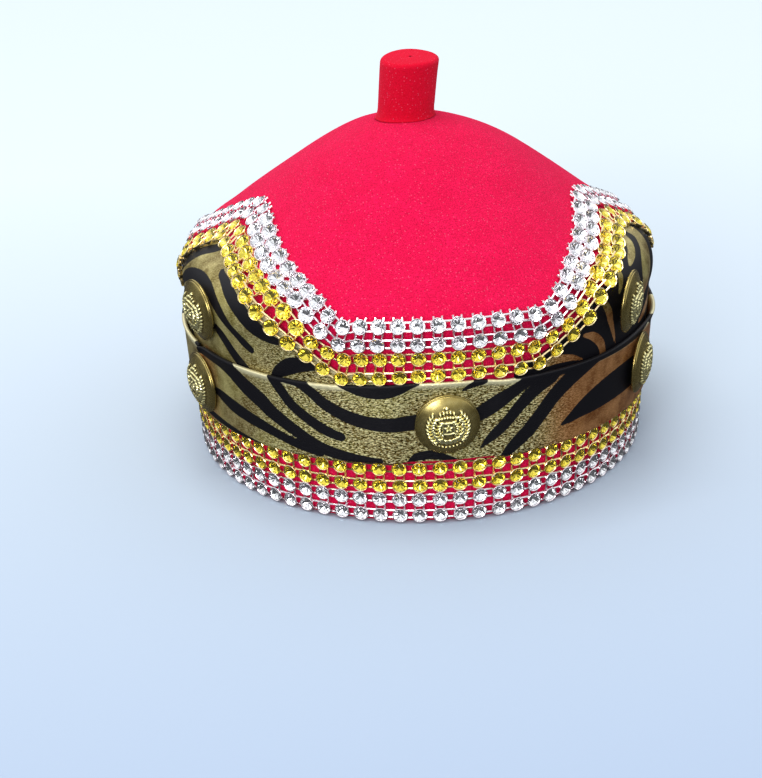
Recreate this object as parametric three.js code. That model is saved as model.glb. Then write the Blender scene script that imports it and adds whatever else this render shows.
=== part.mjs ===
// Chieftaincy cap: a red felt crown with a stalk, a printed leather band and two side flaps,
// edged with rhinestone trims and set with domed brass buttons. Millimetres, +Z up.
// The origin is the middle of the rim, the front looks along -Y and the wearer's left is -X here.
import * as THREE from 'three';

// Felt crown
const RIM_RADIUS = 92.5; // outer half-width at the rim
const WALL_FLARE = 5; // how much the wall opens over WALL_HEIGHT
const WALL_HEIGHT = 75;
const SHOULDER_RADIUS = 14; // rounding between wall and slope
const SLOPE = 0.73; // rise of the sloping top for each millimetre inwards
const SLOPE_APEX = 157.4; // where the slope would meet the axis
const CROWN_HEIGHT = 138.5; // rounded top of the felt
const DEPTH_RATIO = 1.041; // front-to-back over side-to-side
const BOW = 0.08; // front and back stand higher than the sides
const BACK_DROP = 0.1; // but the back not as high as the front
const FELT = 2.5; // wall thickness
const CROWN_SIDES = 60;

// Stalk on the top
const STALK = { base: 11.9, top: 12.3, height: 24.5, edge: 1.6, x: -2.2, y: 7.3, leanX: 0.105, leanY: -0.07 };

// Leather
const LEATHER = 1.2;
const GAP = 0.4; // clearance between pieces that touch
const BAND = { low: 27.5, high: 60.3, thick: 1.7, seam: -71, opening: 2.4, steps: 90 };
const FLAP = { tuck: 54, start: 16, end: 107, edge: 2.2, columns: 25, rows: 9, knee: 0.56 };
const BRIDGE = 0.9; // how far leather stands off the middle of the shoulder, and a trim again as far

// Line of the flap's edge: level round the front and back, up a long arm at the front of each side
// to a tip, then down a shorter arm. Angles are from the front (degrees); those of the foot and heel
// are for the edge itself and for the outer side of the trims, TRIM.reach further up the felt.
const EDGE = { level: 61.6, ease: 1.12, heelEase: 2.3, heelEaseOut: 1.1 };
const LEFT_EDGE = { rise: 40.6, foot: 25.5, footOut: 23.5, tip: 78.5, heel: 104, heelOut: 115 };
const RIGHT_EDGE = { rise: 36.8, foot: 20, footOut: 24, tip: 75, heel: 102, heelOut: 114 };

// Behind the flaps the band's top edge and the upper trims run a little lower
const REAR = { dip: 4, from: 98, to: 122 };

// Rhinestone trims: two rows of stones on a net, a ridge for each row. Each starts at its low edge,
// and apart is the distance between its rows.
const TRIM = { reach: 26, net: 0.9, valley: 1.3, ridge: 3, row: 3 };
const LOWER_TRIMS = [
  { name: 'silver_trim_lower', low: 0.2, apart: 7, colour: 0xe6e8ee },
  { name: 'gold_trim_lower', low: 13.3, apart: 7.3, colour: 0xd8c23c },
];
const UPPER_TRIMS = [
  { name: 'gold_trim_upper', low: -0.4, apart: 7.5, colour: 0xd8c23c },
  { name: 'silver_trim_upper', low: 13.8, apart: 6.4, colour: 0xe6e8ee },
];
const LOWER_SIDES = 62;
const UPPER_STEPS = { front: 4, frontArm: 12, backArm: 10, back: 12 };

// Buttons: their section from the middle of the back round to the middle of the dome, where r is
// the radius, h the height, and petal how far every other side of that ring is raised
const BUTTON_SIDES = 16;
const BUTTON_SECTION = [
  { r: 0, h: 0, petal: 0 },
  { r: 12.1, h: 0, petal: 0 },
  { r: 13, h: 0.9, petal: 0 },
  { r: 12.6, h: 2.3, petal: 0 },
  { r: 11.2, h: 1.9, petal: 0 },
  { r: 8, h: 3.9, petal: 0.5 },
  { r: 3.9, h: 4.6, petal: 0.5 },
  { r: 0, h: 4.9, petal: 0 },
];
const WALL_SEAT = 74; // a button on a flap faces out as the wall does at this height

// Where each button sits: angle from the front and height up the felt. A button over the bend of its
// flap is turned further round and stands a little higher.
const BUTTONS = [
  { name: 'band_button_front', angle: -0.5, rise: 43.5 },
  { name: 'band_button_front_right', angle: 59.5, rise: 45 },
  { name: 'band_button_back_right', angle: 120, rise: 42 },
  { name: 'band_button_back', angle: 180, rise: 42 },
  { name: 'band_button_back_left', angle: -128, rise: 42 },
  { name: 'band_button_front_left', angle: -70.5, rise: 43.5 },
  { name: 'flap_button_right', angle: 50.3, rise: 78.3, turn: 11, lift: 1.6 },
  { name: 'flap_button_left', angle: -68.5, rise: 77.5 },
];

const radians = THREE.MathUtils.degToRad;

// Meridian of the felt's outer face, as a function of the distance up it from the rim.
// The wall is straight, the shoulder an arc, the slope straight, and the top a parabola.
const lean = WALL_FLARE / WALL_HEIGHT;
const wallTilt = -Math.atan(lean);
const slopeTilt = Math.atan2(1, SLOPE);
const cornerZ = (SLOPE_APEX - SLOPE * RIM_RADIUS) / (1 + SLOPE * lean);
const cornerR = RIM_RADIUS + lean * cornerZ;
const turn = slopeTilt - wallTilt;
const tangent = SHOULDER_RADIUS * Math.tan(turn / 2);
const wallEnd = Math.hypot(cornerZ, cornerR - RIM_RADIUS) - tangent;
const shoulderEnd = wallEnd + SHOULDER_RADIUS * turn;
const domeRadius = (2 * (SLOPE_APEX - CROWN_HEIGHT)) / SLOPE;
const slopeStart = new THREE.Vector2(cornerR - tangent * Math.sin(slopeTilt), cornerZ + tangent * Math.cos(slopeTilt));
const slopeEnd = shoulderEnd + (slopeStart.x - domeRadius) / Math.sin(slopeTilt);

function meridian(rise) {
  if (rise <= wallEnd) {
    const r = RIM_RADIUS - rise * Math.sin(wallTilt);
    return { r, z: rise * Math.cos(wallTilt), tilt: wallTilt };
  }
  if (rise <= shoulderEnd) {
    const tilt = wallTilt + (rise - wallEnd) / SHOULDER_RADIUS;
    const centreR = RIM_RADIUS - wallEnd * Math.sin(wallTilt) - SHOULDER_RADIUS * Math.cos(wallTilt);
    const centreZ = wallEnd * Math.cos(wallTilt) - SHOULDER_RADIUS * Math.sin(wallTilt);
    return { r: centreR + SHOULDER_RADIUS * Math.cos(tilt), z: centreZ + SHOULDER_RADIUS * Math.sin(tilt), tilt };
  }
  if (rise <= slopeEnd) {
    const along = rise - shoulderEnd;
    const r = slopeStart.x - along * Math.sin(slopeTilt);
    return { r, z: slopeStart.y + along * Math.cos(slopeTilt), tilt: slopeTilt };
  }
  const r = Math.max(domeRadius - (rise - slopeEnd), 0);
  return { r, z: domeZ(r), tilt: Math.atan2(domeRadius, SLOPE * r) };
}

function domeZ(r) {
  return CROWN_HEIGHT - (SLOPE * r * r) / (2 * domeRadius);
}

// Oval plan and bowed height of the whole cap
function bowed(azimuth, r, z) {
  const side = THREE.MathUtils.RAD2DEG * Math.acos(Math.cos(azimuth));
  const drop = BACK_DROP * THREE.MathUtils.smoothstep(side, 90, 160);
  const lift = (BOW * Math.cos(2 * azimuth) - drop) * z * (1 - z / CROWN_HEIGHT);
  return new THREE.Vector3(r * Math.sin(azimuth), -DEPTH_RATIO * r * Math.cos(azimuth), z + lift);
}

// A point at an angle from the front, a distance up the felt and a height out of it
function onFelt(degrees, rise, out) {
  const p = meridian(rise);
  return bowed(radians(degrees), p.r + out * Math.cos(p.tilt), p.z + out * Math.sin(p.tilt));
}

// Moves every corner of a geometry; the map gets the corner's own x, y and z
function remap(geometry, map) {
  const position = geometry.getAttribute('position');
  for (let i = 0; i < position.count; i++) {
    const p = map(position.getX(i), position.getY(i), position.getZ(i));
    position.setXYZ(i, p.x, p.y, p.z);
  }
  geometry.deleteAttribute('normal');
  geometry.deleteAttribute('uv');
  return geometry;
}

// How far round a corner of a turned ring lies, from 0 to 1; rounding joins the ring's two ends
function ringAngle(x, z, sides) {
  const step = Math.round((Math.atan2(x, z) / (2 * Math.PI)) * sides);
  return ((step + sides) % sides) / sides;
}

// 1 in the middle of the shoulder and 0 away from it
function bridge(rise) {
  const middle = (wallEnd + shoulderEnd) / 2;
  const t = 1 - Math.abs(rise - middle) / (shoulderEnd - wallEnd);
  return THREE.MathUtils.smoothstep(2 * t, 0, 1);
}

function lerp(from, to, t) {
  return from + (to - from) * t;
}

// 0 away from the flaps, 1 on them, for what has to lie over their leather
function overFlap(degrees) {
  const side = Math.abs(degrees);
  const t = Math.min(side - (FLAP.start - 8), FLAP.end + 8 - side) / 6;
  return THREE.MathUtils.smoothstep(t, 0, 1);
}

function rearDip(degrees) {
  return REAR.dip * THREE.MathUtils.smoothstep(Math.abs(degrees), REAR.from, REAR.to);
}

// The foot, tip and heel of one side's edge line, moved out by a distance over it
function edgeAngles(hand, over) {
  const edge = hand > 0 ? RIGHT_EDGE : LEFT_EDGE;
  const out = over / TRIM.reach;
  return { foot: lerp(edge.foot, edge.footOut, out), tip: edge.tip, heel: lerp(edge.heel, edge.heelOut, out) };
}

// Height up the felt of that line
function edgeRise(degrees, over) {
  const side = Math.abs(degrees);
  const { foot, tip, heel } = edgeAngles(degrees, over);
  const t = side < tip ? (side - foot) / (tip - foot) : (heel - side) / (heel - tip);
  const ease = side < tip ? EDGE.ease : lerp(EDGE.heelEase, EDGE.heelEaseOut, over / TRIM.reach);
  const arm = Math.sin((Math.PI / 2) * Math.pow(THREE.MathUtils.clamp(t, 0, 1), ease));
  const edge = degrees > 0 ? RIGHT_EDGE : LEFT_EDGE;
  return EDGE.level + over + edge.rise * arm - rearDip(degrees);
}

// Stations round an upper trim, as angles of one side from the front (0) to the back (180)
function stationSide(hand, index, over) {
  const { foot, tip, heel } = edgeAngles(hand, over);
  const stops = [0, foot, tip, heel, 180];
  const counts = [UPPER_STEPS.front, UPPER_STEPS.frontArm, UPPER_STEPS.backArm, UPPER_STEPS.back];
  let left = index;
  for (let k = 0; k < counts.length; k++) {
    if (left <= counts[k]) {
      return lerp(stops[k], stops[k + 1], left / counts[k]);
    }
    left -= counts[k];
  }
  return 180;
}

// Section of a trim across its width: x is out of the felt and y up it
function trimSection(apart, basePoints) {
  const { net, valley, ridge, row } = TRIM;
  const width = apart + 2 * row - 0.2;
  const section = [];
  for (let i = 0; i < basePoints; i++) {
    section.push(new THREE.Vector2(0, width - (i * width) / (basePoints - 1)));
  }
  section.push(new THREE.Vector2(net, 0));
  section.push(new THREE.Vector2(ridge, row));
  section.push(new THREE.Vector2(valley, row + apart / 2));
  section.push(new THREE.Vector2(ridge, row + apart));
  section.push(new THREE.Vector2(net, width));
  section.push(section[0].clone());
  return section;
}

const RING = 100; // radius at which a ring is turned before it is laid on the felt

function turnedRing(section, sides, place) {
  const profile = section.map((p) => new THREE.Vector2(RING + p.x, p.y));
  return remap(new THREE.LatheGeometry(profile, sides), (x, y, z) => {
    return place(ringAngle(x, z, sides), y, Math.hypot(x, z) - RING);
  });
}

function crownGeometry() {
  const outer = [0, 0.5 * wallEnd, wallEnd];
  const inner = [0, wallEnd];
  const shoulderSteps = 5;
  for (let i = 1; i <= shoulderSteps; i++) {
    outer.push(lerp(wallEnd, shoulderEnd, i / shoulderSteps));
    inner.push(lerp(wallEnd, shoulderEnd, i / shoulderSteps));
  }
  outer.push(lerp(shoulderEnd, slopeEnd, 1 / 2), slopeEnd);
  inner.push(slopeEnd);
  const domeSteps = 4;
  for (let i = 1; i < domeSteps; i++) {
    outer.push(slopeEnd + (domeRadius * i) / domeSteps);
    inner.push(slopeEnd + (domeRadius * i) / domeSteps);
  }
  const profile = [new THREE.Vector2(0, CROWN_HEIGHT)];
  for (const rise of outer.reverse()) {
    const p = meridian(rise);
    profile.push(new THREE.Vector2(p.r, p.z));
  }
  for (const rise of inner) {
    const p = meridian(rise);
    const z = rise === 0 ? 0 : p.z - FELT * Math.sin(p.tilt);
    profile.push(new THREE.Vector2(p.r - FELT * Math.cos(p.tilt), z));
  }
  profile.push(new THREE.Vector2(0, CROWN_HEIGHT - FELT));
  return remap(new THREE.LatheGeometry(profile.reverse(), CROWN_SIDES), (x, y, z) => {
    return bowed(2 * Math.PI * ringAngle(x, z, CROWN_SIDES), Math.hypot(x, z), y);
  });
}

// The stalk's underside follows the rounded top of the crown
function stalkGeometry() {
  const { base, top, height, edge } = STALK;
  const foot = CROWN_HEIGHT + GAP;
  const profile = [new THREE.Vector2(0, foot), new THREE.Vector2(base / 2, foot), new THREE.Vector2(base, foot)];
  profile.push(new THREE.Vector2(lerp(base, top, 0.5), foot + height / 2));
  for (let i = 0; i <= 3; i++) {
    const a = (Math.PI / 2) * (i / 3);
    const r = top - edge + edge * Math.cos(a);
    profile.push(new THREE.Vector2(r, foot + height - edge + edge * Math.sin(a)));
  }
  profile.push(new THREE.Vector2(0, foot + height));
  return remap(new THREE.LatheGeometry(profile, 20), (x, y, z) => {
    const up = y - foot;
    const px = x + STALK.x + STALK.leanX * up;
    const py = -z + STALK.y + STALK.leanY * up;
    const drop = (1 - up / height) * (CROWN_HEIGHT - domeZ(Math.hypot(px, py)));
    return new THREE.Vector3(px, py, y - drop);
  });
}

// A strip bent round the felt: its box runs 0 to 1 along, up and out
function strip(columns, rows, place) {
  const box = new THREE.BoxGeometry(1, 1, 1, columns, rows, 1);
  box.translate(0.5, 0.5, 0.5);
  return remap(box, place);
}

function bandOut(degrees) {
  return GAP + overFlap(degrees) * (LEATHER + GAP);
}

function bandGeometry() {
  const sweep = 360 - (BAND.opening / RIM_RADIUS) * THREE.MathUtils.RAD2DEG;
  return strip(BAND.steps, 1, (u, v, w) => {
    const turned = BAND.seam + (360 - sweep) / 2 + sweep * u;
    const degrees = turned > 180 ? turned - 360 : turned;
    const high = BAND.high - rearDip(degrees);
    return onFelt(degrees, lerp(BAND.low, high, v), bandOut(degrees) + w * BAND.thick);
  });
}

function flapGeometry(hand) {
  return strip(FLAP.columns, FLAP.rows, (u, v, w) => {
    const along = hand > 0 ? u : 1 - u;
    const { tip } = edgeAngles(hand, FLAP.edge);
    const side = along < FLAP.knee
      ? lerp(FLAP.start, tip, along / FLAP.knee)
      : lerp(tip, FLAP.end, (along - FLAP.knee) / (1 - FLAP.knee));
    const rise = lerp(FLAP.tuck, edgeRise(hand * side, FLAP.edge), v);
    return onFelt(hand * side, rise, GAP + BRIDGE * bridge(rise) + w * LEATHER);
  });
}

function lowerTrimGeometry({ low, apart }) {
  return turnedRing(trimSection(apart, 2), LOWER_SIDES, (part, v, out) => {
    return onFelt(360 * part, low + v, GAP + out);
  });
}

function upperTrimGeometry({ low, apart }) {
  const half = UPPER_STEPS.front + UPPER_STEPS.frontArm + UPPER_STEPS.backArm + UPPER_STEPS.back;
  return turnedRing(trimSection(apart, 4), 2 * half, (part, v, out) => {
    const index = Math.round(part * 2 * half);
    const hand = index > half ? -1 : 1;
    const over = low + v;
    const side = stationSide(hand, hand > 0 ? index : 2 * half - index, over);
    const onLeather = 1 - THREE.MathUtils.smoothstep(over, FLAP.edge + 2.5, FLAP.edge + 6.5);
    const rest = GAP + onLeather * overFlap(side) * (LEATHER + 2 * GAP);
    const rise = edgeRise(hand * side, over);
    return onFelt(hand * side, rise, rest + 2 * BRIDGE * bridge(rise) + out);
  });
}

// Every other corner of two rings is raised, so a rosette of petals stands on the dome
function buttonGeometry() {
  const profile = BUTTON_SECTION.map((p) => new THREE.Vector2(p.r, p.h));
  return remap(new THREE.LatheGeometry(profile, BUTTON_SIDES), (x, y, z) => {
    const step = Math.round(ringAngle(x, z, BUTTON_SIDES) * BUTTON_SIDES);
    const ring = BUTTON_SECTION.find((p) => Math.abs(p.h - y) < 1e-3 && Math.abs(p.r - Math.hypot(x, z)) < 1e-3);
    const angle = (2 * Math.PI * step) / BUTTON_SIDES;
    const raised = step % 2 === 0 ? ring.petal : 0;
    return new THREE.Vector3(ring.r * Math.sin(angle), -ring.r * Math.cos(angle), ring.h + raised);
  });
}

function addButton(group, geometry, { name, angle, rise, turn = 0, lift = 0 }) {
  const onBand = rise < BAND.high;
  const under = onBand ? bandOut(angle) + BAND.thick : GAP + LEATHER + BRIDGE * bridge(rise);
  const seatRise = Math.min(rise, WALL_SEAT);
  const inner = onFelt(angle + turn, seatRise, 0);
  const outward = onFelt(angle + turn, seatRise, 1).sub(inner).normalize();
  const button = mesh(name, geometry, BRASS);
  button.position.copy(onFelt(angle, rise, under)).addScaledVector(outward, GAP + lift);
  button.quaternion.setFromUnitVectors(new THREE.Vector3(0, 0, 1), outward);
  group.add(button);
}

const FELT_RED = { color: 0xe00b3a, roughness: 0.95, metalness: 0 };
const PRINTED_LEATHER = { color: 0xa4975a, roughness: 0.45, metalness: 0.3 };
const BRASS = { color: 0x9a8a50, roughness: 0.35, metalness: 1 };

function mesh(name, geometry, look) {
  const m = new THREE.Mesh(geometry, new THREE.MeshStandardMaterial(look));
  m.name = name;
  return m;
}

const cap = new THREE.Group();
cap.add(mesh('crown', crownGeometry(), FELT_RED));
cap.add(mesh('stalk', stalkGeometry(), FELT_RED));
cap.add(mesh('band', bandGeometry(), PRINTED_LEATHER));
cap.add(mesh('flap_left', flapGeometry(-1), PRINTED_LEATHER));
cap.add(mesh('flap_right', flapGeometry(1), PRINTED_LEATHER));
for (const trim of LOWER_TRIMS) {
  cap.add(mesh(trim.name, lowerTrimGeometry(trim), { color: trim.colour, roughness: 0.2, metalness: 0.3 }));
}
for (const trim of UPPER_TRIMS) {
  cap.add(mesh(trim.name, upperTrimGeometry(trim), { color: trim.colour, roughness: 0.2, metalness: 0.3 }));
}
for (const spec of BUTTONS) {
  addButton(cap, buttonGeometry(), spec);
}

export default cap;
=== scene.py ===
import math

import bpy
import numpy as np
from mathutils import Matrix, Vector


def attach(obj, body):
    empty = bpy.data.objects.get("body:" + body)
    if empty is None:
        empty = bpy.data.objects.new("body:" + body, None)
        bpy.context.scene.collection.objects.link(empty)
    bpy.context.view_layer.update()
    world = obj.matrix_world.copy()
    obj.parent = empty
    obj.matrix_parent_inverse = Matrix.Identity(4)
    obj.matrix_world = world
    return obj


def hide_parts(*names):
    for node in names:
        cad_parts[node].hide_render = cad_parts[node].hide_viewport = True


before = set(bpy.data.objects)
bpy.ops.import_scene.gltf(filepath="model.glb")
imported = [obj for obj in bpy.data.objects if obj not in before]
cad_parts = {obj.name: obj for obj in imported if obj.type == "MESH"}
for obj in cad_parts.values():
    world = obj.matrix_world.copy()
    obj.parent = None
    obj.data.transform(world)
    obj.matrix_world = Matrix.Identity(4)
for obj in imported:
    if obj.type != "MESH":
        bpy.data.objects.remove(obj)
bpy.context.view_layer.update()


# Crown
# One hood of wool felt, steamed and pulled over a block: an upright wall, a rounded shoulder, a
# sloping top and a rounded summit. The felt is 2.5 mm thick, and its rim is cut and left raw.
RIM_RADIUS = 92.5
WALL_FLARE = 5.0
WALL_HEIGHT = 75.0
SHOULDER_RADIUS = 14.0
SLOPE = 0.73
SLOPE_APEX = 157.4
CROWN_HEIGHT = 138.5
DEPTH_RATIO = 1.041
BOW = 0.08
BACK_DROP = 0.1
FELT = 2.5

lean = WALL_FLARE / WALL_HEIGHT
wall_tilt = -math.atan(lean)
slope_tilt = math.atan2(1, SLOPE)
corner_z = (SLOPE_APEX - SLOPE * RIM_RADIUS) / (1 + SLOPE * lean)
corner_r = RIM_RADIUS + lean * corner_z
turn = slope_tilt - wall_tilt
tangent = SHOULDER_RADIUS * math.tan(turn / 2)
wall_end = math.hypot(corner_z, corner_r - RIM_RADIUS) - tangent
shoulder_end = wall_end + SHOULDER_RADIUS * turn
dome_radius = 2 * (SLOPE_APEX - CROWN_HEIGHT) / SLOPE
slope_r = corner_r - tangent * math.sin(slope_tilt)
slope_z = corner_z + tangent * math.cos(slope_tilt)
slope_end = shoulder_end + (slope_r - dome_radius) / math.sin(slope_tilt)
summit = slope_end + dome_radius


def smoothstep(t):
    t = np.clip(t, 0, 1)
    return t * t * (3 - 2 * t)


def dome_z(r):
    return CROWN_HEIGHT - SLOPE * r * r / (2 * dome_radius)


def meridian(rise):
    """Radius, height and outward tilt of the felt's face, for distances up it from the rim, in mm."""
    rise = np.asarray(rise, float)
    zones = [rise <= wall_end, rise <= shoulder_end, rise <= slope_end]
    tilt_on_shoulder = wall_tilt + (rise - wall_end) / SHOULDER_RADIUS
    centre_r = RIM_RADIUS - wall_end * math.sin(wall_tilt) - SHOULDER_RADIUS * math.cos(wall_tilt)
    centre_z = wall_end * math.cos(wall_tilt) - SHOULDER_RADIUS * math.sin(wall_tilt)
    along = rise - shoulder_end
    top_r = np.maximum(dome_radius - (rise - slope_end), 0)
    r = np.select(zones, [
        RIM_RADIUS - rise * math.sin(wall_tilt),
        centre_r + SHOULDER_RADIUS * np.cos(tilt_on_shoulder),
        slope_r - along * math.sin(slope_tilt),
    ], top_r)
    z = np.select(zones, [
        rise * math.cos(wall_tilt),
        centre_z + SHOULDER_RADIUS * np.sin(tilt_on_shoulder),
        slope_z + along * math.cos(slope_tilt),
    ], dome_z(top_r))
    straight = np.full_like(rise, wall_tilt)
    tilt = np.select(zones, [straight, tilt_on_shoulder, np.full_like(rise, slope_tilt)],
                     np.arctan2(dome_radius, SLOPE * top_r))
    return r, z, tilt


def on_felt(degrees, rise, out=0.0):
    """Points in metres, at angles from the front, distances up the felt and heights out of it."""
    r, z, tilt = meridian(rise)
    r = r + out * np.cos(tilt)
    z = z + out * np.sin(tilt)
    a = np.radians(degrees)
    back = smoothstep((np.degrees(np.arccos(np.cos(a))) - 90) / 70)
    lift = (BOW * np.cos(2 * a) - BACK_DROP * back) * z * (1 - z / CROWN_HEIGHT)
    return np.stack([r * np.sin(a), -DEPTH_RATIO * r * np.cos(a), z + lift], -1) / 1000


def make_piece(name, points, faces, material, smooth=True):
    """A mesh object at the origin, from its points in metres."""
    mesh = bpy.data.meshes.new(name)
    mesh.from_pydata(np.reshape(points, (-1, 3)).tolist(), [], faces)
    mesh.polygons.foreach_set("use_smooth", [smooth] * len(mesh.polygons))
    mesh.materials.append(material)
    mesh.update()
    piece = bpy.data.objects.new(name, mesh)
    bpy.context.scene.collection.objects.link(piece)
    return piece


def ring_faces(sections, corners, around):
    """Quads between sections with the same number of corners; around joins the last to the first."""
    faces = []
    for i in range(sections if around else sections - 1):
        here = i * corners
        there = (i + 1) % sections * corners
        for j in range(corners - 1):
            faces.append((here + j, there + j, there + j + 1, here + j + 1))
    return faces


def hexcolour(text):
    """A linear colour from an sRGB hex value."""
    values = [int(text[i : i + 2], 16) / 255 for i in (1, 3, 5)]
    return tuple(v / 12.92 if v <= 0.04045 else ((v + 0.055) / 1.055) ** 2.4 for v in values) + (1.0,)


def add(tree, kind, inputs=None, **settings):
    """Adds a node. Settings are its properties, and inputs are values, hex colours, sockets, or other
    nodes, which stand for their main output."""
    made = tree.nodes.new(kind)
    for key, value in settings.items():
        setattr(made, key, value)
    for key, value in (inputs or {}).items():
        if isinstance(value, bpy.types.Node):
            value = value.outputs[2 if getattr(value, "data_type", "") == "RGBA" else 0]
        elif isinstance(value, str) and value.startswith("#"):
            value = hexcolour(value)
        if isinstance(value, bpy.types.NodeSocket):
            tree.links.new(value, made.inputs[key])
        else:
            made.inputs[key].default_value = value
    return made


def give(piece, key, values, kind="FLOAT", field="value"):
    """Stores a value at each of a piece's points, for its material to read."""
    data = piece.data.attributes.new(key, kind, "POINT").data
    data.foreach_set(field, np.ravel(values).astype(np.float32))


def new_material(name):
    material = bpy.data.materials.new(name)
    material.use_nodes = True
    material.node_tree.nodes.clear()
    return material, material.node_tree


def surface(tree, inputs):
    """The material's Principled shader and its output."""
    shader = add(tree, "ShaderNodeBsdfPrincipled", inputs)
    add(tree, "ShaderNodeOutputMaterial", {"Surface": shader})


# Wool felt, dyed crimson and brushed: no weave, a short matt nap that catches light at a grazing
# angle, and here and there a pale fibre end. On the stalk its colour is painted darker, as painted
# shade for the upright stalk.
wool_felt, tree = new_material("wool felt, brushed")
place = add(tree, "ShaderNodeTexCoord").outputs["Object"]
nap = add(tree, "ShaderNodeTexNoise", {"Vector": place, "Scale": 1900.0, "Detail": 3.0, "Roughness": 0.75})
patches = add(tree, "ShaderNodeTexNoise", {"Vector": place, "Scale": 90.0, "Detail": 3.0})
ends = add(tree, "ShaderNodeTexVoronoi", {"Vector": place, "Scale": 900.0})
end_seen = add(tree, "ShaderNodeMapRange",
               {"Value": ends, "From Min": 0.12, "From Max": 0.3, "To Min": 1.0, "To Max": 0.0})
end_chance = add(tree, "ShaderNodeSeparateColor", {0: ends.outputs["Color"]})
end_kept = add(tree, "ShaderNodeMath", {0: end_chance, 1: 0.6}, operation="GREATER_THAN")
end_mask = add(tree, "ShaderNodeMath", {0: end_seen, 1: end_kept}, operation="MULTIPLY")
end_weak = add(tree, "ShaderNodeMath", {0: end_mask, 1: 0.2}, operation="MULTIPLY")
nap_shade = add(tree, "ShaderNodeMapRange", {"Value": nap, "From Min": 0.35, "From Max": 0.66})
felt_colour = add(tree, "ShaderNodeMix", {0: nap_shade, 6: "#A4032E", 7: "#FA1454"}, data_type="RGBA")
patch_shade = add(tree, "ShaderNodeMapRange",
                  {"Value": patches, "From Min": 0.35, "From Max": 0.65, "To Min": 0.0, "To Max": 0.35})
felt_patched = add(tree, "ShaderNodeMix", {0: patch_shade, 6: felt_colour, 7: "#C40436"}, data_type="RGBA")
# Painted shade: the stalk's felt is mixed towards a darker red.
stalk_shade = add(tree, "ShaderNodeAttribute", attribute_name="stalk_shade").outputs["Fac"]
felt_stalk_shaded = add(tree, "ShaderNodeMix", {0: stalk_shade, 6: felt_patched, 7: "#C90213"}, data_type="RGBA")
felt_final = add(tree, "ShaderNodeMix", {0: end_weak, 6: felt_stalk_shaded, 7: "#FF8FB0"}, data_type="RGBA")
nap_bump = add(tree, "ShaderNodeBump", {"Strength": 0.8, "Distance": 0.0004, "Height": nap})
surface(tree, {"Base Color": felt_final, "Roughness": 0.95, "Specular IOR Level": 0.1, "Sheen Weight": 0.14,
               "Sheen Roughness": 0.5, "Sheen Tint": "#FF6A90", "Normal": nap_bump})

CROWN_SIDES = 300
# The height over which the felt's cut edge is rounded
EDGE_ROUND = 1.2


def felt_waver(degrees, rise):
    """How far the blocked felt swells or sinks from its true form, in mm, on the bare top."""
    a = np.radians(degrees)
    s = rise / 24
    swell = 0.35 * np.sin(3 * a + 1.3 * s + 0.7) + 0.25 * np.sin(5 * a - 1.9 * s + 2.1)
    return swell * smoothstep((rise - shoulder_end) / 20) * smoothstep((summit - 14 - rise) / 20)


outer_rise = np.concatenate([
    np.linspace(EDGE_ROUND, wall_end, 44),
    np.linspace(wall_end, shoulder_end, 16)[1:],
    np.linspace(shoulder_end, summit - 0.6, 70)[1:],
])
angles = np.arange(CROWN_SIDES) * 360 / CROWN_SIDES
columns = []
for degrees in angles:
    outer = on_felt(degrees, outer_rise, felt_waver(degrees, outer_rise))
    edge_turn = np.radians(np.linspace(0, 180, 7))[1:-1]
    edge_r = RIM_RADIUS - FELT / 2 + FELT / 2 * np.cos(edge_turn)
    edge_z = EDGE_ROUND - EDGE_ROUND * np.sin(edge_turn)
    a = math.radians(degrees)
    edge = np.stack([edge_r * math.sin(a), -DEPTH_RATIO * edge_r * math.cos(a), edge_z], -1) / 1000
    inner_rise = np.concatenate(
        [np.linspace(EDGE_ROUND, shoulder_end, 24), np.linspace(shoulder_end, summit - 1, 20)[1:]]
    )
    inner = on_felt(degrees, inner_rise, -FELT)
    columns.append(np.concatenate([outer[::-1], edge, inner]))
columns = np.array(columns)
corners = columns.shape[1]
faces = ring_faces(CROWN_SIDES, corners, around=True)
summit_points = np.array([[0, 0, CROWN_HEIGHT / 1000], [0, 0, (CROWN_HEIGHT - FELT) / 1000]])
top = CROWN_SIDES * corners
for i in range(CROWN_SIDES):
    j = (i + 1) % CROWN_SIDES
    faces.append((i * corners, top, j * corners))
    faces.append((j * corners + corners - 1, top + 1, i * corners + corners - 1))
crown = make_piece("felt_crown", np.concatenate([columns.reshape(-1, 3), summit_points]), faces, wool_felt)
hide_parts("crown")
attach(crown, "root")


# Stalk
# A short plug of the same felt, rolled, cut flat on top and stitched from inside on to the summit,
# a little off its middle and leaning. Its foot flares where the felt is pressed down.
STALK = {"base": 11.9, "top": 12.3, "height": 24.5, "edge": 1.9, "x": -2.2, "y": 7.3, "lean_x": 0.105,
         "lean_y": -0.07}
STALK_SIDES = 96
# How far the stalk's felt is painted darker, as painted shade
STALK_SHADE = 0.7
foot = CROWN_HEIGHT + 0.15
section = [(r, 0.0) for r in (0.5, 4.0, 8.0, 11.0)]
section += [(STALK["base"] + 1.0 * math.exp(-h / 1.1), h) for h in (0.05, 0.4, 0.9, 1.6, 2.6, 4)]
widening = STALK["top"] - STALK["base"]
section += [(STALK["base"] + widening * h / STALK["height"], h) for h in np.linspace(5.5, 22.2, 16)]
for turned in np.radians(np.linspace(0, 90, 8)[1:]):
    r = STALK["top"] - STALK["edge"] * (1 - math.cos(turned))
    section.append((r, STALK["height"] - STALK["edge"] * (1 - math.sin(turned))))
section += [(r, STALK["height"] + 0.12 * (1 - r / 10.4)) for r in (9.4, 8.0, 6.0, 4.0, 2.0, 0.5)]
section = np.array(section)
turned = np.radians(np.arange(STALK_SIDES) * 360 / STALK_SIDES)[:, None]
r, h = section[:, 0][None], section[:, 1][None]
dent = 1 + 0.012 * np.sin(2 * turned + 0.6 + h / 9) + 0.008 * np.sin(5 * turned + h / 5)
px = r * dent * np.sin(turned)
py = -r * dent * np.cos(turned)
up = h + 0.25 * np.sin(turned * 2 + 1) * smoothstep((h - 20) / 4) * (r / STALK["top"])
px = px + STALK["x"] + STALK["lean_x"] * up
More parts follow.
